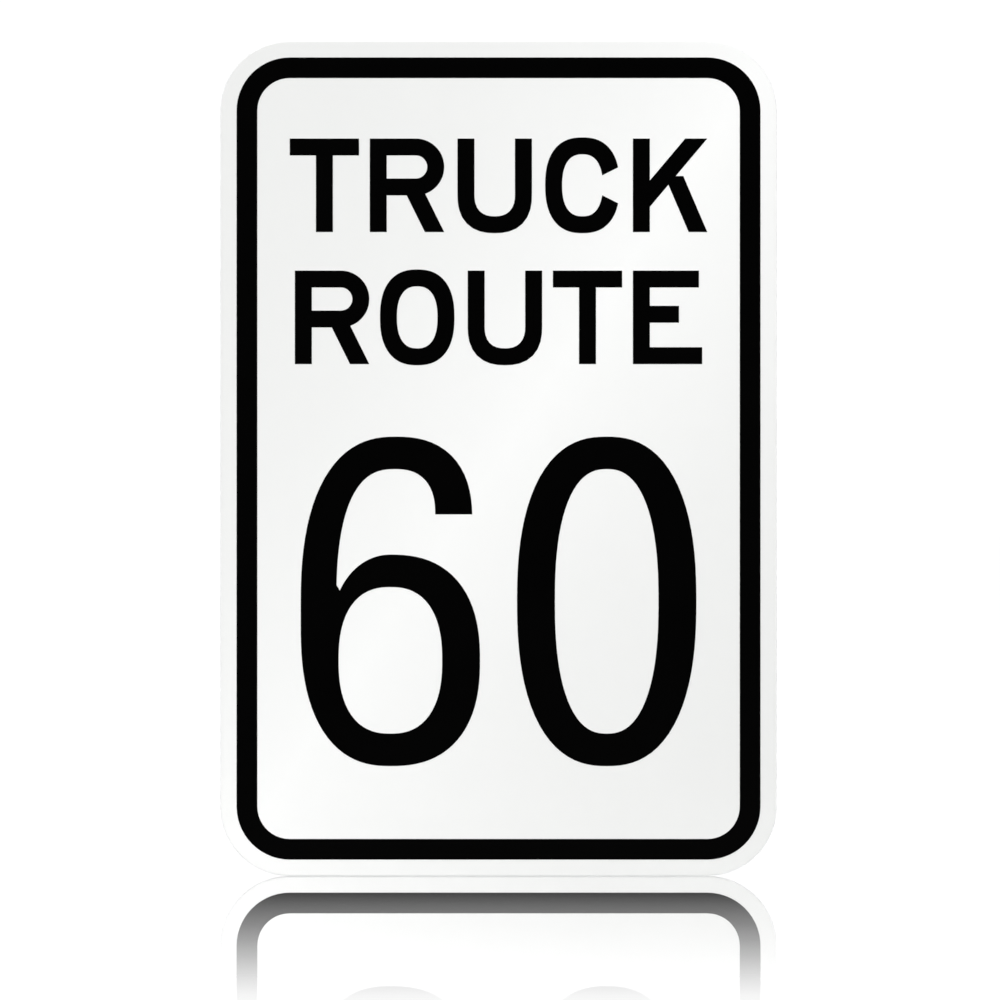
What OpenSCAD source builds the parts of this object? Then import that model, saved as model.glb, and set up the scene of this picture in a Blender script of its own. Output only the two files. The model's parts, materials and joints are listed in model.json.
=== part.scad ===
// Road sign for a round post. A flat aluminium plate carries a film face, with no hole through it.
// Two slotted rails are taped across its back, and a bolted clip slides along each rail and grips the post.
// The origin is on the post's axis, midway between the clips. +Z is up and the face looks along -Y.

/* [Plate] */
// Width of the plate
plate_w = 304.8; // [250:0.1:400]
// Height of the plate
plate_h = 457.2; // [380:0.1:600]
// Thickness of the plate
plate_t = 2; // [1:0.1:5]
// Radius of the plate's corners
corner_r = 38.1; // [30:0.1:50]

/* [Face films] */
// Thickness of the white reflective sheeting
sheeting_t = 0.3; // [0.2:0.05:0.6]
// Set-back of the sheeting from the plate's edge
sheeting_inset = 0.6; // [0.2:0.1:2]
// Thickness of the black cut film
film_t = 0.1; // [0.05:0.05:0.3]
// White margin outside the black border
margin = 9; // [5:0.1:14]
// Width of the black border
border_w = 11.3; // [8:0.1:16]

/* [Legend] */
// Height of the capital letters
cap_h = 51.2; // [40:0.1:60]
// Stroke of the capital letters
cap_stroke = 9.25; // [6:0.05:12]
// Clear space from the border to each end of the upper word
word_side = 17.8; // [8:0.1:25]
// Clear space from the border to the top of the upper word
word_top = 33.1; // [15:0.1:45]
// Clear space between the two words
line_gap = 21.1; // [10:0.1:40]
// Clear space between a curve, or the arms of a letter, and the next letter
gap_round = 7.3; // [4:0.1:12]
// Clear space beside a letter whose corner is open
gap_open = 5.9; // [3:0.1:10]
// Clear space from the border to each side of the numerals
numeral_side = 23.8; // [10:0.1:40]
// Clear space between the lower word and the numerals
numeral_top = 39.7; // [20:0.1:60]
// Clear space between the numerals and the border below
numeral_bottom = 39.9; // [20:0.1:60]
// Clear space between the numerals
numeral_gap = 20.3; // [8:0.1:30]
// Upright stroke of the numerals
numeral_stem = 20.7; // [12:0.1:26]
// Level stroke of the numerals
numeral_bar = 17.8; // [10:0.1:22]

/* [Rails] */
// Distance from the plate's side to the end of a rail
rail_inset = 20; // [12:0.5:30]
// Distance from the plate's top or bottom edge to a rail's centre line
rail_edge = 90; // [60:1:110]
// Height of a rail's base flange
rail_base_h = 40; // [32:0.5:50]
// Wall of a rail
rail_wall = 2.5; // [1.5:0.1:4]
// Thickness of the two lips beside the slot
rail_lip = 3.2; // [2:0.1:5]
// Thickness of the structural foam tape
tape_t = 1.1; // [0.6:0.1:2.3]
// Set-back of the tape from the edges of the base flange
tape_inset = 2; // [1:0.1:4]
// Thickness of an end cap's plate
cap_t = 2.5; // [1.5:0.1:4]
// Length of an end cap's tongue
cap_tongue = 10; // [6:0.1:14]

/* [Post clips] */
// Outside diameter of the post that the clips are for
post_d = 60.3; // [48:0.1:76.1]
// Width of a strap
strap_w = 30; // [24:0.5:40]
// Thickness of a strap
strap_t = 3; // [2:0.1:4]
// Inside radius of the bend at a strap's foot
strap_bend = 4; // [3:0.1:6]
// Gap left between a strap's feet and the rail when the clip is tight
strap_gap = 3; // [1.5:0.1:5]
// Radius of the corners of a strap's feet
foot_r = 6; // [2:0.1:9]
// Distance from a bolt's axis to the end of a strap's foot
foot_end = 10; // [8.5:0.1:14]

/* [Fasteners] */
// Diameter of the bolts' threads
bolt_d = 8; // [6:0.1:10]
// Length of the bolts under the head
bolt_len = 25; // [20:1:35]
// Width of the bolt heads and nuts across the flats
hex_flats = 13; // [10:0.1:16]
// Height of the bolt heads
head_t = 5.3; // [4:0.1:7]
// Height of the nuts
nut_t = 6.5; // [4:0.1:8]
// Chamfer at a bolt's tip and in the two mouths of a nut
thread_chamfer = 0.7; // [0.3:0.1:1]
// Outside diameter of the washers
washer_d = 16; // [14:0.1:20]
// Thickness of the washers
washer_t = 1.6; // [1:0.1:2.5]

/* [Clearances] */
// Radial clearance between the post and the clips
grip_clear = 0.05; // [0.02:0.01:0.1]
// Clearance of a bolt head in the rail, on each side
head_clear = 0.2; // [0.1:0.05:0.5]
// Clearance behind a bolt head
head_depth_clear = 0.7; // [0.3:0.1:1.5]
// Radial clearance of a bolt in the rail's slot and the strap's holes
shank_clear = 0.5; // [0.3:0.05:1]
// Radial clearance of a bolt in a washer
washer_clear = 0.2; // [0.1:0.05:0.4]
// Radial clearance of a bolt in a nut
thread_clear = 0.05; // [0.02:0.01:0.1]
// Clearance round an end cap's tongue
tongue_clear = 0.2; // [0.1:0.05:0.4]
// Clear space between a washer and the bend of the strap
washer_to_bend = 1; // [0.5:0.1:2]

/* [Hidden] */
$fn = 96;
upper = 1;
lower = -1;
left = -1;
right = 1;

// Levels along Y, from the post towards the face
grip_r = post_d / 2 + grip_clear;
lip_y = -grip_r;
cavity_y = lip_y - rail_lip;
cavity_d = head_t + head_depth_clear;
base_y = cavity_y - cavity_d;
rail_front_y = base_y - rail_wall;
rail_depth = lip_y - rail_front_y;
plate_back_y = rail_front_y - tape_t;
plate_front_y = plate_back_y - plate_t;
sheeting_front_y = plate_front_y - sheeting_t;

// Rails and clips
rail_len = plate_w - 2 * rail_inset;
rail_z = plate_h / 2 - rail_edge;
cavity_h = hex_flats + 2 * head_clear;
slot_h = bolt_d + 2 * shank_clear;
channel_h = cavity_h + 2 * rail_wall;
strap_r = grip_r + strap_t;
foot_front_y = lip_y + strap_gap;
foot_back_y = foot_front_y + strap_t;
bolt_x = strap_r + strap_bend + washer_to_bend + washer_d / 2;
nut_y = foot_back_y + washer_t;

// Face layout, measured from the centre of the plate
inner_w = plate_w - 2 * (margin + border_w);
inner_h = plate_h - 2 * (margin + border_w);
upper_base_z = inner_h / 2 - word_top - cap_h;
lower_base_z = upper_base_z - line_gap - cap_h;
numeral_base_z = numeral_bottom - inner_h / 2;
numeral_h = lower_base_z - numeral_top - numeral_base_z;
numeral_w = (inner_w - 2 * numeral_side - numeral_gap) / 2;

// Letter widths: the upper word fills its line, and round letters stand a little wider than the armed ones
round_extra = 2.8;
upper_w = inner_w - 2 * word_side;
arm_w = (upper_w - gap_open - 3 * gap_round - 4 * round_extra) / 5;
round_w = arm_w + round_extra;
TRUCK = [[arm_w, gap_open], [round_w, gap_round], [round_w, gap_round], [round_w, gap_round], [round_w, 0]];
ROUTE = [[round_w, gap_open], [round_w, gap_round], [round_w, gap_open], [arm_w, gap_open], [arm_w, 0]];

// Proportions of the letters and numerals, as shares of their height or width
overshoot = 0.012;
round_n = 2.42;
r_bowl = 0.608;
r_leg = 0.44;
e_arm = 0.665;
e_top_arm = 0.953;
e_arm_z = 0.533;
u_hip = 0.4;
c_mouth = 0.24;
k_arm = 0.27;
k_leg = 0.2;
six_bowl = 0.642;
six_top_x = 0.53;
six_terminal_x = 0.957;
six_terminal_z = 0.764;

// ---- shared shapes ----

// A layer drawn in X and Z whose back is at y, standing thick towards the face
module layer(y, thick) {
    translate([0, y, 0])
        rotate([90, 0, 0])
            linear_extrude(thick)
                children();
}

module rounded(w, h, r) {
    square([w - 2 * r, h], center = true);
    square([w, h - 2 * r], center = true);
    for (sx = [-1, 1], sy = [-1, 1])
        translate([sx * (w / 2 - r), sy * (h / 2 - r)])
            circle(r);
}

// The plate's outline, stepped in by the same distance all round
module outline(inset) {
    rounded(plate_w - 2 * inset, plate_h - 2 * inset, corner_r - inset);
}

// A round bar along +Y
module bar(d, y0, y1) {
    translate([0, y0, 0])
        rotate([-90, 0, 0])
            cylinder(d = d, h = y1 - y0);
}

// A cone along +Y, from diameter d0 at y0 to diameter d1 at y1
module cone(d0, d1, y0, y1) {
    translate([0, y0, 0])
        rotate([-90, 0, 0])
            cylinder(d1 = d0, d2 = d1, h = y1 - y0);
}

// A hexagonal blank along +Y from y = 0, its corners chamfered at the near end and, if both, at the far end
module hex_blank(thick, both) {
    flat_r = 0.475 * hex_flats;
    corner = hex_flats / 2 / cos(30);
    rise = (corner - flat_r) * tan(30);
    far_r = both ? flat_r : corner;
    far_rise = both ? rise : 0;
    rotate([-90, 0, 0])
        intersection() {
            cylinder(r = corner, h = thick, $fn = 6);
            rotate_extrude()
                polygon([
                    [0, 0], [flat_r, 0], [corner, rise],
                    [corner, thick - far_rise], [far_r, thick], [0, thick]
                ]);
        }
}

// ---- letters and numerals: each glyph stands on its baseline with its left edge at x = 0 ----

// Points along a superellipse of half-axes a and b about c, from one angle to another
function curve(c, a, b, from, to, n = round_n, steps = 16) = [
    for (i = [0:steps])
        let (t = from + (to - from) * i / steps)
            c + [a * cos(t), b * sin(t)] / pow(pow(abs(cos(t)), n) + pow(abs(sin(t)), n), 1 / n)
];
// The angle at which such a curve has climbed a share of its half-height
function angle_at(share, n = round_n) = atan(share / pow(1 - pow(share, n), 1 / n));

// A closed oval band, with its upright and level strokes
module oval(w, h, stem, bar) {
    steps = 88;
    difference() {
        polygon(curve([w / 2, h / 2], w / 2, h / 2, 0, 360, steps = steps));
        polygon(curve([w / 2, h / 2], w / 2 - stem, h / 2 - bar, 0, 360, steps = steps));
    }
}

module glyph_t(w, h, stroke) {
    translate([(w - stroke) / 2, 0])
        square([stroke, h]);
    translate([0, h - stroke])
        square([w, stroke]);
}

module glyph_e(w, h, stroke) {
    square([stroke, h]);
    square([w, stroke]);
    translate([0, h - stroke])
        square([e_top_arm * w, stroke]);
    translate([0, e_arm_z * h - stroke / 2])
        square([e_arm * w, stroke]);
}

// A stem, a bowl whose right side is a half circle, and a straight leg
module glyph_r(w, h, stroke) {
    bowl = r_bowl * h;
    r = bowl / 2;
    top_z = h - bowl + stroke / 2;
    top_x = r_leg * w;
    leg_w = stroke / cos(atan((w - stroke - top_x) / top_z));
    square([stroke, h]);
    polygon([[w - leg_w, 0], [w, 0], [top_x + leg_w, top_z], [top_x, top_z]]);
    translate([0, h - bowl])
        difference() {
            union() {
                square([w - r, bowl]);
                translate([w - r, r])
                    circle(r);
            }
            translate([stroke, stroke])
                square([w - r - stroke, bowl - 2 * stroke]);
            translate([w - r, r])
                circle(r - stroke);
        }
}

module glyph_u(w, h, stroke) {
    hip = u_hip * h;
    sag = overshoot * h;
    mid = [w / 2, hip];
    polygon(concat(
        [[0, h]],
        curve(mid, w / 2, hip + sag, 180, 360),
        [[w, h], [w - stroke, h]],
        curve(mid, w / 2 - stroke, hip + sag - stroke, 360, 180),
        [[stroke, h]]
    ));
}

module glyph_o(w, h, stroke) {
    translate([0, -overshoot * h])
        oval(w, h * (1 + 2 * overshoot), stroke, stroke);
}

module glyph_c(w, h, stroke) {
    difference() {
        glyph_o(w, h, stroke);
        polygon([[w / 2, h / 2], [w * 1.1, h * (0.5 - c_mouth)], [w * 1.1, h * (0.5 + c_mouth)]]);
    }
}

// A stem, an arm that rises to the top corner, and a leg that leaves the arm for the bottom corner
module glyph_k(w, h, stroke) {
    arm_z = k_arm * h;
    lean = atan((w - stroke) / (h - arm_z));
    arm_rise = stroke / sin(lean);
    leg_x = stroke + k_leg * w;
    leg_z = arm_z + arm_rise / 2 + (leg_x - stroke) / tan(lean);
    leg_w = stroke / cos(atan((w - stroke - leg_x) / leg_z));
    square([stroke, h]);
    polygon([[stroke, arm_z], [w, h], [w - stroke / cos(lean), h], [stroke, arm_z + arm_rise]]);
    polygon([[leg_x, leg_z], [w - leg_w, 0], [w, 0], [leg_x + leg_w, leg_z]]);
}

module glyph_0(w, h) {
    oval(w, h, numeral_stem, numeral_bar);
}

// A bowl and a tail that rises over it to a crown and a level terminal
module glyph_6(w, h) {
    stem = numeral_stem;
    bar = numeral_bar;
    half = w / 2;
    bowl = six_bowl * h;
    top_x = six_top_x * w;
    end_x = six_terminal_x * w;
    cut_z = six_terminal_z * h;
    crown_z = 0.747 * h;
    side_z = 0.49 * h;
    hip_z = 0.426 * h;
    notch_z = 0.415 * h;
    inner_z = 0.475 * h;
    cut_angle = angle_at((cut_z - crown_z) / (h - crown_z));
    difference() {
        polygon(concat(
            curve([top_x, crown_z], end_x - top_x, h - crown_z, cut_angle, 90),
            curve([top_x, side_z], top_x, h - side_z, 90, 180, steps = 24),
            curve([half, hip_z], half, hip_z, 180, 270, steps = 24),
            curve([half, bowl / 2], half, bowl / 2, 270, 450, steps = 44),
            curve([half, notch_z], half - 0.82 * stem, bowl - notch_z, 90, 149, 2.05),
            curve([top_x, inner_z], top_x - 0.94 * stem, h - bar - inner_z, 170, 90, 2.64, 24),
            curve([top_x, cut_z], end_x - top_x - 0.98 * stem, h - bar - cut_z, 90, 0)
        ));
        polygon(curve([half, bowl / 2], half - stem, bowl / 2 - bar, 0, 360, steps = 72));
    }
}

// ---- the face ----

function before(word, i) = i == 0 ? 0 : before(word, i - 1) + word[i - 1][0] + word[i - 1][1];
function word_w(word) = before(word, len(word) - 1) + word[len(word) - 1][0];

module sign_plate() {
    color("silver")
        layer(plate_back_y, plate_t)
            outline(0);
}

module face_sheeting() {
    color("white")
        layer(plate_front_y, sheeting_t)
            outline(sheeting_inset);
}

module black_film(x, z) {
    color([0.03, 0.03, 0.03])
        layer(sheeting_front_y, film_t)
            translate([x, z])
                children();
}

module border_film() {
    black_film(0, 0)
        difference() {
            outline(margin);
            outline(margin + border_w);
        }
}

// The letter at place i of a centred word
module letter(word, i, base_z) {
    black_film(before(word, i) - word_w(word) / 2, base_z)
        children();
}

module upper_letter(i) {
    letter(TRUCK, i, upper_base_z)
        children();
}

module lower_letter(i) {
    letter(ROUTE, i, lower_base_z)
        children();
}

module numeral(side) {
    black_film(side * (numeral_w + numeral_gap) / 2 - numeral_w / 2, numeral_base_z)
        children();
}

// ---- rails ----

// The rail's section, drawn with Y across and Z up, about the rail's centre line
module rail_section() {
    difference() {
        union() {
            translate([rail_front_y, -rail_base_h / 2])
                square([rail_wall, rail_base_h]);
            translate([rail_front_y, -channel_h / 2])
                square([rail_depth, channel_h]);
        }
        translate([base_y, -cavity_h / 2])
            square([cavity_d, cavity_h]);
        translate([base_y, -slot_h / 2])
            square([lip_y - base_y + 1, slot_h]);
    }
}

module rail(level) {
    color("gainsboro")
        translate([0, 0, level * rail_z])
            rotate([90, 0, 90])
                linear_extrude(rail_len, center = true)
                    rail_section();
}

module rail_tape(level) {
    color("dimgray")
        translate([0, 0, level * rail_z])
            layer(rail_front_y, tape_t)
                square([rail_len - 2 * tape_inset, rail_base_h - 2 * tape_inset], center = true);
}

module end_cap(level, side) {
    tongue_h = cavity_h - 2 * tongue_clear;
    tongue_d = cavity_d - 2 * tongue_clear;
    color([0.12, 0.12, 0.13])
        translate([0, 0, level * rail_z])
            mirror([side < 0 ? 1 : 0, 0, 0])
                translate([rail_len / 2, 0, 0]) {
                    translate([0, rail_front_y, -channel_h / 2])
                        cube([cap_t, rail_depth, channel_h]);
                    translate([-cap_tongue, base_y + tongue_clear, -tongue_h / 2])
                        cube([cap_tongue, tongue_d, tongue_h]);
                }
}

// ---- post clips ----

// A strap's section: a bow round the back of the post, two legs, two bends and two feet
module strap_section() {
    foot_x = strap_r + strap_bend;
    foot_len = bolt_x + foot_end - foot_x;
    bend_y = foot_back_y + strap_bend;
    intersection() {
        difference() {
            circle(strap_r);
            circle(grip_r);
        }
        translate([-strap_r, 0])
            square([2 * strap_r, strap_r]);
    }
    for (side = [0, 1])
        mirror([side, 0]) {
            translate([grip_r, bend_y])
                square([strap_t, -bend_y]);
            intersection() {
                translate([foot_x, bend_y])
                    difference() {
                        circle(strap_bend + strap_t);
                        circle(strap_bend);
                    }
                translate([grip_r, foot_front_y])
                    square([strap_t + strap_bend, strap_t + strap_bend]);
            }
            translate([foot_x, foot_front_y])
                square([foot_len, strap_t]);
        }
}

module strap(level) {
    reach = bolt_x + foot_end;
    color("darkgray")
        translate([0, 0, level * rail_z])
            difference() {
                intersection() {
                    linear_extrude(strap_w, center = true)
                        strap_section();
                    layer(strap_r + 1, strap_r + 1 - foot_front_y + 1)
                        rounded(2 * reach, strap_w, foot_r);
                }
                for (side = [-1, 1])
                    translate([side * bolt_x, 0, 0])
                        bar(bolt_d + 2 * shank_clear, foot_front_y - 1, foot_back_y + 1);
            }
}

module at_bolt(level, side) {
    translate([side * bolt_x, 0, level * rail_z])
        children();
}

module bolt(level, side) {
    tip_y = cavity_y + bolt_len;
    color("lightsteelblue")
        at_bolt(level, side) {
            translate([0, cavity_y - head_t, 0])
                hex_blank(head_t, false);
            bar(bolt_d, cavity_y, tip_y - thread_chamfer);
            cone(bolt_d, bolt_d - 2 * thread_chamfer, tip_y - thread_chamfer, tip_y);
        }
}

module washer(level, side) {
    color("lightsteelblue")
        at_bolt(level, side)
            difference() {
                bar(washer_d, foot_back_y, foot_back_y + washer_t);
                bar(bolt_d + 2 * washer_clear, foot_back_y - 1, foot_back_y + washer_t + 1);
            }
}

module nut(level, side) {
    bore = bolt_d + 2 * thread_clear;
    mouth = bore + 2 * thread_chamfer;
    color("lightsteelblue")
        at_bolt(level, side)
            difference() {
                translate([0, nut_y, 0])
                    hex_blank(nut_t, true);
                bar(bore, nut_y - 1, nut_y + nut_t + 1);
                cone(mouth, bore, nut_y, nut_y + thread_chamfer);
                cone(bore, mouth, nut_y + nut_t - thread_chamfer, nut_y + nut_t);
            }
}

// ---- the nodes ----

sign_plate();
face_sheeting();
border_film();
upper_letter(0) glyph_t(arm_w, cap_h, cap_stroke);  // upper_letter_t
upper_letter(1) glyph_r(round_w, cap_h, cap_stroke);  // upper_letter_r
upper_letter(2) glyph_u(round_w, cap_h, cap_stroke);  // upper_letter_u
upper_letter(3) glyph_c(round_w, cap_h, cap_stroke);  // upper_letter_c
upper_letter(4) glyph_k(round_w, cap_h, cap_stroke);  // upper_letter_k
lower_letter(0) glyph_r(round_w, cap_h, cap_stroke);  // lower_letter_r
lower_letter(1) glyph_o(round_w, cap_h, cap_stroke);  // lower_letter_o
lower_letter(2) glyph_u(round_w, cap_h, cap_stroke);  // lower_letter_u
lower_letter(3) glyph_t(arm_w, cap_h, cap_stroke);  // lower_letter_t
lower_letter(4) glyph_e(arm_w, cap_h, cap_stroke);  // lower_letter_e
numeral(left) glyph_6(numeral_w, numeral_h);  // numeral_6
numeral(right) glyph_0(numeral_w, numeral_h);  // numeral_0
rail(upper);  // upper_rail
rail(lower);  // lower_rail
rail_tape(upper);  // upper_rail_tape
rail_tape(lower);  // lower_rail_tape
end_cap(upper, left);  // upper_left_end_cap
end_cap(upper, right);  // upper_right_end_cap
end_cap(lower, left);  // lower_left_end_cap
end_cap(lower, right);  // lower_right_end_cap
strap(upper);  // upper_strap
strap(lower);  // lower_strap
bolt(upper, left);  // upper_left_bolt
bolt(upper, right);  // upper_right_bolt
bolt(lower, left);  // lower_left_bolt
bolt(lower, right);  // lower_right_bolt
washer(upper, left);  // upper_left_washer
washer(upper, right);  // upper_right_washer
washer(lower, left);  // lower_left_washer
washer(lower, right);  // lower_right_washer
nut(upper, left);  // upper_left_nut
nut(upper, right);  // upper_right_nut
nut(lower, left);  // lower_left_nut
nut(lower, right);  // lower_right_nut
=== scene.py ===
"""Looks of the post-mounted road sign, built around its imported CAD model.

Everything is in metres in the model's own frame: the post's axis is Z, the face looks along -Y
and the sign stands on the bottom edge of its plate.
"""

import json
import math

import bmesh
import bpy
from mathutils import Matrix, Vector


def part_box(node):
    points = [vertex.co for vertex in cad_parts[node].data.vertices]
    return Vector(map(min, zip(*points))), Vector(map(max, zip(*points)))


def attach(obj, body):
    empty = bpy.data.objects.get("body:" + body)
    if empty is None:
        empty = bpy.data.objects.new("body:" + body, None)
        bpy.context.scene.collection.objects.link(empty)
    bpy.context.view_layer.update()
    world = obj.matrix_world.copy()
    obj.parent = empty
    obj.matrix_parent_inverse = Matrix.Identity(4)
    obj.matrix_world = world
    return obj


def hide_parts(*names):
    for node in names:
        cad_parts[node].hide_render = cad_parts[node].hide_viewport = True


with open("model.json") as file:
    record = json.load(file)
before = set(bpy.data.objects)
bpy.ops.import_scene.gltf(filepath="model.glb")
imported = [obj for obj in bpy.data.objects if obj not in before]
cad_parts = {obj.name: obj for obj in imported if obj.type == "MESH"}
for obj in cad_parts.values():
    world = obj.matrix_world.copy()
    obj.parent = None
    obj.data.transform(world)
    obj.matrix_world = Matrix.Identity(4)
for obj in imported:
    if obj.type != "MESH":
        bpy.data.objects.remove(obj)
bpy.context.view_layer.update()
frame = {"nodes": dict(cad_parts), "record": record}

NODES = frame["nodes"]
BODIES = {
    node: body
    for body, nodes in frame["record"]["behaviour"]["bodies"].items()
    for node in nodes
}
LEVELS = ("upper", "lower")
SIDES = ("left", "right")

# ---- camera ----

VIEW_DISTANCE = 3.0
VIEW_WIDTH = 0.5475
EYE_HEIGHT = 0.2059
EYE_ASIDE = 0.0008
SENSOR = 36.0
VIEW_END = 200

plate_low, plate_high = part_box("sign_plate")
face_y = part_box("border_film")[0].y
floor_z = plate_low.z


def make_camera():
    """A level camera in front of the face, far enough away to flatten the perspective."""
    data = bpy.data.cameras.new("camera")
    data.sensor_width = SENSOR
    data.lens = SENSOR * VIEW_DISTANCE / VIEW_WIDTH
    data.clip_end = VIEW_END
    camera = bpy.data.objects.new("camera", data)
    camera.location = (EYE_ASIDE, face_y - VIEW_DISTANCE, floor_z + EYE_HEIGHT)
    camera.rotation_euler = (math.pi / 2, 0, 0)
    bpy.context.scene.collection.objects.link(camera)
    bpy.context.scene.camera = camera


make_camera()

# ---- shader maths ----


class Field:
    """A shader value. Python arithmetic on it adds the Math nodes that work it out."""

    def __init__(self, graph, socket):
        self.graph = graph
        self.socket = socket

    def math(self, operation, *values):
        return self.graph.node("ShaderNodeMath", {"operation": operation}, dict(enumerate(values)))

    def __add__(self, other):
        return self.math("ADD", self, other)

    def __radd__(self, other):
        return self.math("ADD", other, self)

    def __sub__(self, other):
        return self.math("SUBTRACT", self, other)

    def __rsub__(self, other):
        return self.math("SUBTRACT", other, self)

    def __mul__(self, other):
        return self.math("MULTIPLY", self, other)

    def __rmul__(self, other):
        return self.math("MULTIPLY", other, self)

    def __truediv__(self, other):
        return self.math("DIVIDE", self, other)

    def __pow__(self, other):
        return self.math("POWER", self, other)

    def __abs__(self):
        return self.math("ABSOLUTE", self)

    def least(self, other):
        return self.math("MINIMUM", self, other)

    def most(self, other):
        return self.math("MAXIMUM", self, other)

    def rise(self, low, high):
        """0 below low, 1 above high and a smooth step between; it falls where low is above high."""
        settings = {"interpolation_type": "SMOOTHSTEP"}
        sockets = {"Value": self, "From Min": low, "From Max": high}
        return self.graph.node("ShaderNodeMapRange", settings, sockets)


class Graph:
    """The node tree of a material or of the world."""

    def __init__(self, tree):
        self.tree = tree
        tree.nodes.clear()

    def node(self, kind, settings=None, sockets=None, out=0):
        """Adds a node: first its settings, then the values or links of its sockets.

        Returns one output, or the node itself where it has none.
        """
        node = self.tree.nodes.new(kind)
        for key, value in (settings or {}).items():
            if key == "stops":
                self.set_stops(node.color_ramp, value)
            else:
                setattr(node, key, value)
        for key, value in (sockets or {}).items():
            self.plug(node.inputs[key], value)
        return Field(self, node.outputs[out]) if len(node.outputs) else node

    def plug(self, socket, value):
        if isinstance(value, Field):
            self.tree.links.new(value.socket, socket)
        elif isinstance(value, (tuple, list)) and socket.type == "RGBA" and len(value) == 3:
            socket.default_value = (*value, 1)
        else:
            socket.default_value = value

    @staticmethod
    def set_stops(ramp, stops):
        for index, (place, grey) in enumerate(stops):
            stop = ramp.elements[index] if index < 2 else ramp.elements.new(place)
            stop.position = place
            stop.color = (grey, grey, grey, 1)

    def mix(self, amount, first, second):
        """Blends two colours."""
        settings = {"data_type": "RGBA", "clamp_factor": True}
        return self.node("ShaderNodeMix", settings, {0: amount, 6: first, 7: second}, out=2)

    def parts(self, vector):
        """The X, Y and Z of a vector."""
        first = self.node("ShaderNodeSeparateXYZ", {}, {0: vector})
        return [Field(self, socket) for socket in first.socket.node.outputs]


class Finish(Graph):
    """A material with one Principled shader, whose patterns are in metres on the piece itself."""

    def __init__(self, name, **constants):
        self.material = bpy.data.materials.new(name)
        self.material.use_nodes = True
        super().__init__(self.material.node_tree)
        self.shader = self.node("ShaderNodeBsdfPrincipled")
        self.output = self.node("ShaderNodeOutputMaterial")
        self.surface(self.shader)
        self.set(**constants)
        self.place = self.node("ShaderNodeTexCoord", out=3)
        self.normal = self.parts(self.node("ShaderNodeTexCoord", out=1))
        self.facing = [abs(part) for part in self.normal]

    def surface(self, shader):
        """Makes this shader the one that the material shows."""
        self.plug(self.output.inputs[0], shader)

    def set(self, **values):
        """Sets or links inputs of the shader, such as base_color or coat_weight."""
        for key, value in values.items():
            name = key.replace("_", " ").title().replace("Ior", "IOR")
            self.plug(self.shader.socket.node.inputs[name], value)

    def at(self, stretch, turn=0):
        """The place on the piece, turned about Y by so many degrees and then stretched."""
        place = self.place
        if turn:
            sockets = {0: place, 2: (0, math.radians(turn), 0)}
            place = self.node("ShaderNodeMapping", {}, sockets)
        return self.node("ShaderNodeVectorMath", {"operation": "MULTIPLY"}, {0: place, 1: stretch})

    def noise(self, size, stretch=(1, 1, 1), detail=2, roughness=0.5, turn=0):
        """Noise from 0 to 1 in blotches about size across.

        A stretch below 1 draws them out along that axis.
        """
        sockets = {
            "Vector": self.at(stretch, turn),
            "Scale": 1 / size,
            "Detail": detail,
            "Roughness": roughness,
        }
        return self.node("ShaderNodeTexNoise", {}, sockets)

    def cells(self, size, place=None, out=0):
        """Voronoi cells about size across, as distance (out 0) or as a random colour (out 1)."""
        sockets = {"Vector": place or self.place, "Scale": 1 / size}
        return self.node("ShaderNodeTexVoronoi", {"feature": "F1"}, sockets, out)

    def bump(self, *layers):
        """Raises the surface. A layer is a height from 0 to 1, and what 1 stands for in metres."""
        normal = None
        for height, depth in layers:
            sockets = {"Height": height, "Strength": 1.0, "Distance": depth}
            if normal:
                sockets["Normal"] = normal
            normal = self.node("ShaderNodeBump", {}, sockets)
        self.set(normal=normal)


# ---- finishes ----


def white_sheeting():
    """Beaded retroreflective film: off-white, faintly cloudy, finely grained, with a painted
    diagonal sheen.
    """
    finish = Finish("white_sheeting", specular_ior_level=0.25)
    x, _, z = finish.parts(finish.place)
    plate = plate_high - plate_low
    # Painted sheen: the base colour is lighter along the plate's rising diagonal and darker towards
    # the other two corners.
    painted_sheen = (1 - abs(x / plate.x - z / plate.z)) ** 2
    clouds = finish.noise(0.07, (1.0, 1.0, 0.6), detail=3, roughness=0.55)
    mottle = finish.noise(0.012, detail=2)
    grain = finish.noise(0.0004, detail=1)
    beads = finish.cells(0.00016)
    # The tone holds the painted sheen as well as the film's own clouds, mottle and grain.
    tone = 0.84 * painted_sheen + 0.14 * clouds + 0.07 * mottle + 0.06 * grain - 0.06
    finish.set(base_color=finish.mix(tone, (0.772, 0.778, 0.768), (0.908, 0.913, 0.905)))
    finish.set(roughness=0.46 + 0.12 * grain + 0.06 * mottle)
    finish.bump((mottle, 0.00002), (beads, 0.000012))
    return finish.material


def black_film():
    """Satin cut film, dense black, with the least orange peel."""
    finish = Finish("black_film", specular_ior_level=0.03)
    peel = finish.noise(0.0016, detail=2)
    haze = finish.noise(0.06, detail=3)
    finish.set(base_color=finish.mix(haze, (0.0002, 0.0002, 0.0002), (0.0007, 0.0007, 0.0007)))
    finish.set(roughness=0.26 + 0.10 * haze + 0.06 * peel)
    finish.bump((peel, 0.000012))
    return finish.material


def scuffs(finish, turn, share):
    """Fine straight rub marks, all leaning one way and gathered in patches."""
    line = finish.noise(0.0011, (1.0, 1.0, 0.018), detail=1, turn=turn)
    patch = finish.noise(0.05, detail=2, turn=turn)
    return line.rise(share, share + 0.05) * patch.rise(0.5, 0.64)


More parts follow.
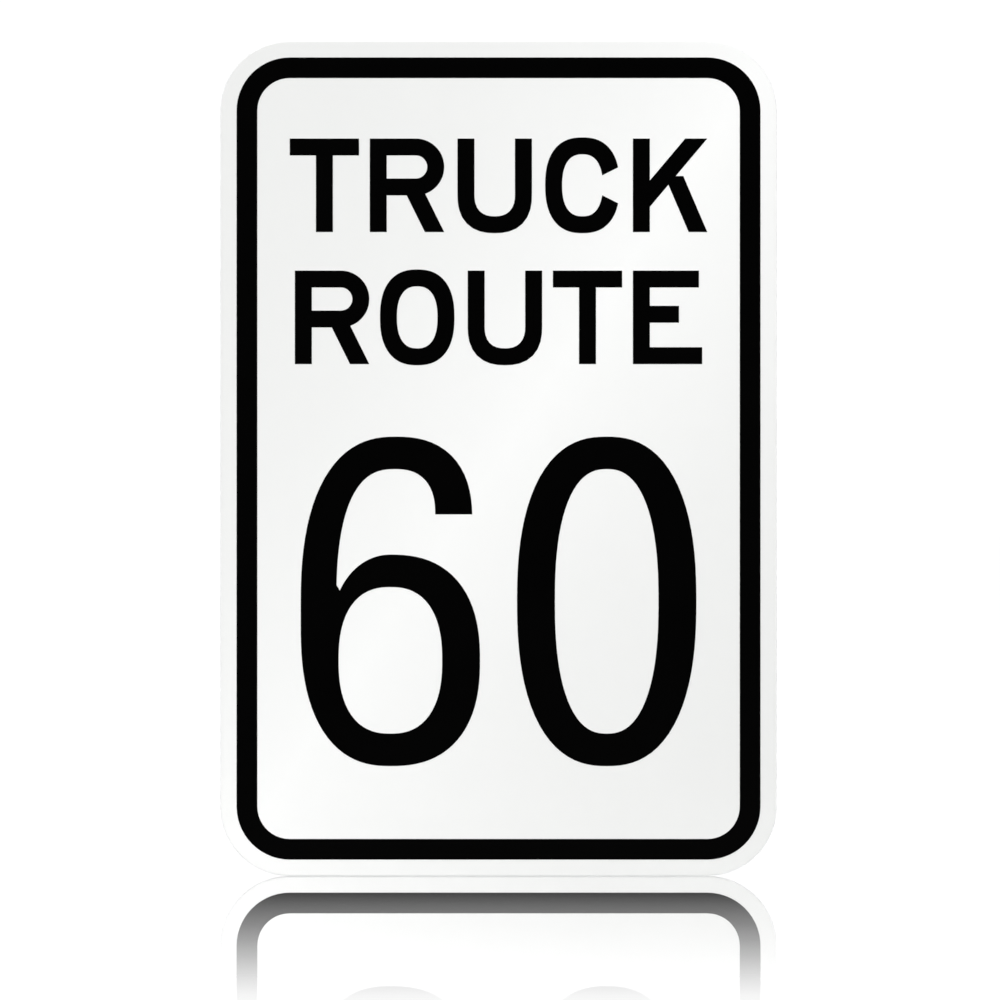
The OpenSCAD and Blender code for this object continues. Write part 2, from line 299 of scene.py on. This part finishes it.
def plate_aluminium():
    """Rolled mill-finish sheet: fine lines up the back, soft oxide clouds; sheared edges lightened
    as painted light.
    """
    finish = Finish("plate_aluminium")
    lines = finish.noise(0.0012, (1.0, 1.0, 0.012), detail=3, roughness=0.6)
    bands = finish.noise(0.02, (1.0, 1.0, 0.05), detail=2)
    oxide = finish.noise(0.045, detail=4, roughness=0.6)
    marks = scuffs(finish, 31, 0.64).most(scuffs(finish, -58, 0.66))
    edge = 1 - finish.normal[1].rise(0.4, 0.7)
    shear = finish.noise(0.0007, (1.0, 0.08, 1.0), detail=2)
    worn = 0.45 * lines + 0.3 * bands + 0.35 * oxide + 0.22 * marks
    mill = finish.mix(worn, (0.46, 0.47, 0.48), (0.80, 0.81, 0.82))
    # The edges and front rim carry sheared-metal streaks but are painted near-white, as painted
    # light lifting the shade at the rim and floor.
    cut = finish.mix(shear, (0.86, 0.865, 0.87), (0.95, 0.955, 0.955))
    finish.set(base_color=finish.mix(edge, mill, cut))
    finish.set(roughness=0.27 + 0.18 * oxide + 0.12 * lines + 0.22 * edge + 0.15 * marks)
    finish.set(metallic=1 - 0.88 * edge)
    finish.bump((lines, 0.000012), (oxide, 0.00003), (marks, 0.00001))
    return finish.material


def rail_aluminium():
    """Extruded aluminium: die lines along the rail and saw marks across its ends."""
    finish = Finish("rail_aluminium", metallic=1.0)
    die = finish.noise(0.0008, (0.004, 1.0, 1.0), detail=3, roughness=0.65)
    broad = finish.noise(0.006, (0.02, 1.0, 1.0), detail=2)
    stain = finish.noise(0.03, detail=3)
    end = finish.facing[0].rise(0.5, 0.8)
    saw = finish.noise(0.0007, (1.0, 0.05, 1.0), detail=2)
    tone = (0.5 * die + 0.3 * broad + 0.2 * stain) * (1 - end) + (0.25 + 0.6 * saw) * end
    finish.set(base_color=finish.mix(tone, (0.60, 0.605, 0.61), (0.84, 0.845, 0.85)))
    finish.set(roughness=0.32 + 0.16 * die + 0.10 * stain + 0.10 * end)
    finish.bump((die, 0.00001), (broad, 0.00002))
    return finish.material


def foam_tape():
    """Closed-cell acrylic foam seen at its cut edge."""
    finish = Finish("foam_tape", specular_ior_level=0.2)
    pores = finish.cells(0.00035)
    clumps = finish.noise(0.002, detail=3)
    tone = pores * 0.7 + clumps * 0.3
    finish.set(base_color=finish.mix(tone, (0.016, 0.016, 0.017), (0.075, 0.076, 0.08)))
    finish.set(roughness=0.78 + 0.2 * clumps)
    finish.bump((pores, 0.00012), (clumps, 0.00006))
    return finish.material


def cap_plastic():
    """Moulded black polyethylene with a fine spark-eroded texture."""
    finish = Finish("cap_plastic", specular_ior_level=0.45)
    spark = finish.noise(0.0005, detail=3, roughness=0.7)
    flow = finish.noise(0.008, (1.0, 1.0, 0.4), detail=2)
    finish.set(base_color=finish.mix(flow, (0.014, 0.014, 0.015), (0.032, 0.032, 0.034)))
    finish.set(roughness=0.42 + 0.14 * spark + 0.08 * flow)
    finish.bump((spark, 0.00003), (flow, 0.00004))
    return finish.material


def galvanised_steel():
    """Hot-dip zinc: angular spangle in several greys, dulled by a thin bloom."""
    finish = Finish("galvanised_steel", metallic=1.0)
    sockets = {"Vector": finish.place, "Scale": 700, "Detail": 2}
    wander = finish.node("ShaderNodeTexNoise", {}, sockets, out=1)
    sockets = {0: wander, "Scale": 0.0011}
    shift = finish.node("ShaderNodeVectorMath", {"operation": "SCALE"}, sockets)
    sockets = {0: finish.place, 1: shift}
    ragged = finish.node("ShaderNodeVectorMath", {"operation": "ADD"}, sockets)
    shade, tilt, _ = finish.parts(finish.cells(0.0042, ragged, out=1))
    up = finish.noise(0.0011, (1.0, 1.0, 0.2), detail=3, roughness=0.6)
    across = finish.noise(0.0011, (0.2, 0.2, 1.0), detail=3, roughness=0.6)
    side = tilt.rise(0.45, 0.55)
    needles = up * side + across * (1 - side)
    bloom = finish.noise(0.02, detail=4, roughness=0.65).rise(0.45, 0.75)
    zinc = finish.mix(0.6 * shade + 0.4 * needles, (0.33, 0.34, 0.355), (0.70, 0.715, 0.73))
    finish.set(base_color=finish.mix(bloom * 0.55, zinc, (0.52, 0.53, 0.54)))
    finish.set(roughness=0.28 + 0.18 * tilt + 0.10 * needles + 0.16 * bloom)
    finish.bump((shade, 0.000004), (needles, 0.00002), (bloom, 0.000015))
    return finish.material


def plated_steel():
    """Bright zinc plate over turned steel, with a trace of blue and straw."""
    finish = Finish("plated_steel", metallic=1.0)
    tint = finish.noise(0.006, detail=2)
    turned = finish.noise(0.0005, (1.0, 0.1, 1.0), detail=2)
    grime = finish.noise(0.003, detail=4, roughness=0.65).rise(0.52, 0.78)
    bright = finish.mix(tint.rise(0.35, 0.65), (0.66, 0.68, 0.71), (0.73, 0.72, 0.69))
    finish.set(base_color=finish.mix(grime * 0.3, bright, (0.38, 0.38, 0.37)))
    finish.set(roughness=0.20 + 0.10 * turned + 0.14 * grime)
    finish.bump((turned, 0.000004), (grime, 0.000004))
    return finish.material


FINISHES = {
    make.__name__: make()
    for make in (
        white_sheeting,
        black_film,
        plate_aluminium,
        rail_aluminium,
        foam_tape,
        cap_plastic,
        galvanised_steel,
        plated_steel,
    )
}


def finish_cad_nodes():
    """Gives every carried-over node the finish of its material slot."""
    for row in frame["record"]["subparts"]:
        mesh = NODES[row["node"]].data
        mesh.materials.clear()
        mesh.materials.append(FINISHES[row["material_slot"]])


finish_cad_nodes()

# ---- softened edges ----

EDGE_RADII = {
    "sign_plate": 0.00012,
    "rail": 0.0003,
    "end_cap": 0.0006,
    "strap": 0.0005,
    "washer": 0.0002,
    "nut": 0.0002,
}
SHARP_ANGLE = math.radians(28)
FLAT_ANGLE = math.radians(0.6)
WELD_REACH = 1e-6
EDGE_STEPS = 3
FACE_WEIGHT = 60


def soften(node, radius):
    """Rounds the sharp edges of a CAD node by modifiers alone and keeps its flat faces flat."""
    piece = NODES[node]
    piece.data.shade_smooth()
    weld = piece.modifiers.new("weld", "WELD")
    weld.merge_threshold = WELD_REACH
    merge = piece.modifiers.new("merge_flat_faces", "DECIMATE")
    merge.decimate_type = "DISSOLVE"
    merge.angle_limit = FLAT_ANGLE
    bevel = piece.modifiers.new("soft_edges", "BEVEL")
    bevel.width = radius
    bevel.segments = EDGE_STEPS
    bevel.limit_method = "ANGLE"
    bevel.angle_limit = SHARP_ANGLE
    bevel.use_clamp_overlap = True
    normals = piece.modifiers.new("even_normals", "WEIGHTED_NORMAL")
    normals.weight = FACE_WEIGHT


def soften_cad_nodes():
    """Softens each CAD node whose name ends with one of the kinds above."""
    for node in NODES:
        for ending, radius in EDGE_RADII.items():
            if node.endswith(ending):
                soften(node, radius)


soften_cad_nodes()

# ---- threaded bolts ----

PITCH = 0.00125
THREAD_DEPTH = 0.61343 * PITCH
RUNOUT = 1.5 * PITCH
BOLT_RADIUS = 0.004
TIP_CHAMFER = 0.0008
HEAD_HEIGHT = 0.0053
# Radius of the head's flat top, as a share of its width over the flats.
HEAD_RIM = 0.475
# Depth of the groove over one pitch, as (share of the pitch, share of the full depth).
THREAD_PROFILE = ((0.0, 1.0), (0.3125, 0.0), (0.4375, 0.0), (0.75, 1.0), (1.0, 1.0))
ROUND_STEPS = 48
CHAMFER_SLOPE = math.tan(math.radians(30))
# The dish in the top of the head, as (share of the rim's radius, depth).
HEAD_DISH = ((0.3, 0.0003), (0.8, 0.00025), (0.92, 0.0), (1.0, 0.0))


def ramp_between(points, place):
    """Height at a place on a line drawn through the points."""
    for (x0, y0), (x1, y1) in zip(points, points[1:]):
        if place <= x1:
            return y0 + (y1 - y0) * (place - x0) / (x1 - x0)
    return points[-1][1]


def hex_radius(angle, flats):
    """Distance from the centre of a hexagon, with a corner at angle 0, to its side."""
    third = math.pi / 3
    return flats / 2 / math.cos((angle % third) - third / 2)


def head_rows(flats, top_y, seat_y):
    """Rings of (radius, y) down a hexagon head, from the dish in its top to the bearing face."""
    rim = HEAD_RIM * flats
    sides = [hex_radius(-2 * math.pi * i / ROUND_STEPS, flats) for i in range(ROUND_STEPS + 1)]
    rows = [[(share * rim, top_y + depth)] * len(sides) for share, depth in HEAD_DISH]
    rows.append([(side, top_y + (side - rim) * CHAMFER_SLOPE) for side in sides])
    rows.append([(side, seat_y) for side in sides])
    return rows


def thread_point(turns, share, start_y, end_y):
    """(radius, y) on a right-handed thread that many turns up, at a share of a turn round it."""
    y = min(max(start_y + PITCH * (turns + share - 1), start_y), end_y)
    phase = ((y - start_y) / PITCH - share) % 1.0
    runout = min(1.0, (y - start_y) / RUNOUT)
    radius = BOLT_RADIUS - THREAD_DEPTH * ramp_between(THREAD_PROFILE, phase) * runout
    return min(radius, BOLT_RADIUS - TIP_CHAMFER + end_y - y), y


def thread_rows(start_y, end_y):
    """Rows of (radius, y) that climb along the thread. They lie flat at both of its ends."""
    turns = math.ceil((end_y - start_y) / PITCH) + 2
    heights = [turn + place for turn in range(turns) for place, _ in THREAD_PROFILE[:-1]]
    shares = [i / ROUND_STEPS for i in range(ROUND_STEPS + 1)]
    return [[thread_point(height, share, start_y, end_y) for share in shares] for height in heights]


def make_bolt(level, side):
    """Stands for a CAD bolt, with a real thread in place of its plain shank."""
    node = f"{level}_{side}_bolt"
    low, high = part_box(node)
    centre = (low + high) / 2
    seat_y = low.y + HEAD_HEIGHT
    rows = head_rows(high.z - low.z, low.y, seat_y) + thread_rows(seat_y, high.y)
    bm = bmesh.new()
    grid = []
    for row in rows:
        line = []
        for i, (radius, y) in enumerate(row):
            angle = -2 * math.pi * i / ROUND_STEPS
            x = centre.x + radius * math.cos(angle)
            z = centre.z + radius * math.sin(angle)
            line.append(bm.verts.new((x, y, z)))
        grid.append(line)
    for near, far in zip(grid, grid[1:]):
        for i in range(ROUND_STEPS):
            bm.faces.new((near[i], near[i + 1], far[i + 1], far[i]))
    for end in (grid[0], grid[-1]):
        bm.faces.new(end[:-1])
    bmesh.ops.remove_doubles(bm, verts=bm.verts, dist=WELD_REACH)
    bmesh.ops.recalc_face_normals(bm, faces=bm.faces)
    mesh = bpy.data.meshes.new(node + "_threaded")
    bm.to_mesh(mesh)
    bm.free()
    mesh.shade_smooth()
    mesh.set_sharp_from_angle(angle=SHARP_ANGLE)
    piece = bpy.data.objects.new(node + "_threaded", mesh)
    bpy.context.scene.collection.objects.link(piece)
    mesh.materials.append(FINISHES["plated_steel"])
    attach(piece, BODIES[node])
    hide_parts(node)


for bolt_level in LEVELS:
    for bolt_side in SIDES:
        make_bolt(bolt_level, bolt_side)

# ---- floor, light and backdrop ----

FLOOR_SIZE = 60.0
FLOOR_GAP = 0.00005
MIRROR_REACH = 0.95
MIRROR_SIDE = 0.4
# What share of an image the floor mirrors, as (distance from the face, share).
MIRROR_SHARES = (
    (0.0, 0.95),
    (0.137, 0.94),
    (0.339, 0.775),
    (0.436, 0.665),
    (0.526, 0.535),
    (0.610, 0.385),
    (0.688, 0.24),
    (0.725, 0.175),
    (0.95, 0.0),
)
GLOSS_GAIN = 1.5
GLASS_IOR = 1.5
BACKDROP_LIGHT = 1.05
LEVEL_LIGHT = 0.38
SKY_LIGHT = 0.52
SKY_RISE = (0.15, 0.95)
DARK_CONE = (0.82, 0.97)
DARK_SHARE = 0.98
# Each soft light: name, place, (width, height) and watts. All aim at the origin.
LIGHTS = (
    ("left_front", (-2.3, -1.7, 0.35), (1.3, 1.8), 64),
    ("right_front", (2.3, -1.7, 0.3), (1.3, 1.8), 62),
    ("left_back", (-1.7, 1.9, 1.5), (1.2, 1.6), 27),
    ("right_back", (2.0, 1.6, 0.7), (0.4, 1.6), 24),
)


def gloss_at(distance):
    """Share of light that polished glass mirrors to the camera, so far in front of the face."""
    cosine = EYE_HEIGHT / math.hypot(EYE_HEIGHT, VIEW_DISTANCE - distance)
    inner = math.sqrt(1 - (1 - cosine**2) / GLASS_IOR**2)
    across = (cosine - GLASS_IOR * inner) / (cosine + GLASS_IOR * inner)
    along = (GLASS_IOR * cosine - inner) / (GLASS_IOR * cosine + inner)
    return min(1.0, GLOSS_GAIN * (across**2 + along**2) / 2)


def make_floor():
    """A pale floor, polished around the sign, matt far from it and clear from below."""
    mesh = bpy.data.meshes.new("floor")
    half = FLOOR_SIZE / 2
    z = floor_z - FLOOR_GAP
    corners = [(-half, -half, z), (half, -half, z), (half, half, z), (-half, half, z)]
    mesh.from_pydata(corners, [], [(0, 1, 2, 3)])
    floor = bpy.data.objects.new("floor", mesh)
    bpy.context.scene.collection.objects.link(floor)
    finish = Finish("floor", roughness=0.7, specular_ior_level=0.0, emission_strength=0.9)
    haze = finish.noise(0.4, detail=2)
    finish.set(base_color=finish.mix(haze, (0.17, 0.17, 0.17), (0.19, 0.19, 0.19)))
    seen = finish.node("ShaderNodeLightPath")
    finish.set(emission_color=finish.mix(seen, (0.12, 0.12, 0.12), (1, 1, 1)))
    x, y, _ = finish.parts(finish.place)
    away = abs(face_y - y).least(MIRROR_REACH) / MIRROR_REACH
    beside = abs(x).rise(MIRROR_SIDE, MIRROR_SIDE / 2)
    stops = [(place / MIRROR_REACH, share / gloss_at(place)) for place, share in MIRROR_SHARES]
    fade = finish.node("ShaderNodeValToRGB", {"stops": stops}, {0: away})
    grazing = (GLOSS_GAIN * finish.node("ShaderNodeFresnel", {}, {"IOR": GLASS_IOR})).least(1.0)
    mirror = finish.node("ShaderNodeBsdfGlossy", {}, {"Color": (1, 1, 1), "Roughness": 0.0})
    sockets = {0: fade * beside * grazing, 1: finish.shader, 2: mirror}
    top = finish.node("ShaderNodeMixShader", {}, sockets)
    underside = finish.node("ShaderNodeNewGeometry", out=6)
    clear = finish.node("ShaderNodeBsdfTransparent")
    finish.surface(finish.node("ShaderNodeMixShader", {}, {0: underside, 1: top, 2: clear}))
    mesh.materials.append(finish.material)


def make_world():
    """A white backdrop, which is white in the floor's mirror too.

    What lights the sign is dimmer, and dark straight ahead of its face.
    """
    world = bpy.data.worlds.new("studio")
    bpy.context.scene.world = world
    world.use_nodes = True
    graph = Graph(world.node_tree)
    _, y, z = graph.parts(graph.node("ShaderNodeTexCoord", out=0))
    ahead = (-1 * y).rise(*DARK_CONE)
    overhead = z.rise(*SKY_RISE)
    light = (LEVEL_LIGHT + SKY_LIGHT * overhead) * (1 - DARK_SHARE * ahead)
    camera, mirrored = [graph.node("ShaderNodeLightPath", out=out) for out in (0, 4)]
    seen = camera.most(mirrored)
    strength = seen * BACKDROP_LIGHT + (1 - seen) * light
    background = graph.node("ShaderNodeBackground", {}, {"Color": (1, 1, 1), "Strength": strength})
    graph.node("ShaderNodeOutputWorld", {}, {0: background})


def make_light(name, place, size, watts):
    """A soft rectangular light aimed at the origin."""
    data = bpy.data.lights.new(name, "AREA")
    data.shape = "RECTANGLE"
    data.size, data.size_y = size
    data.energy = watts
    light = bpy.data.objects.new(name, data)
    light.location = place
    light.rotation_euler = (-Vector(place)).to_track_quat("-Z", "Y").to_euler()
    light.visible_camera = False
    bpy.context.scene.collection.objects.link(light)


make_floor()
make_world()
for light_row in LIGHTS:
    make_light(*light_row)

bpy.context.scene.view_settings.view_transform = "Standard"
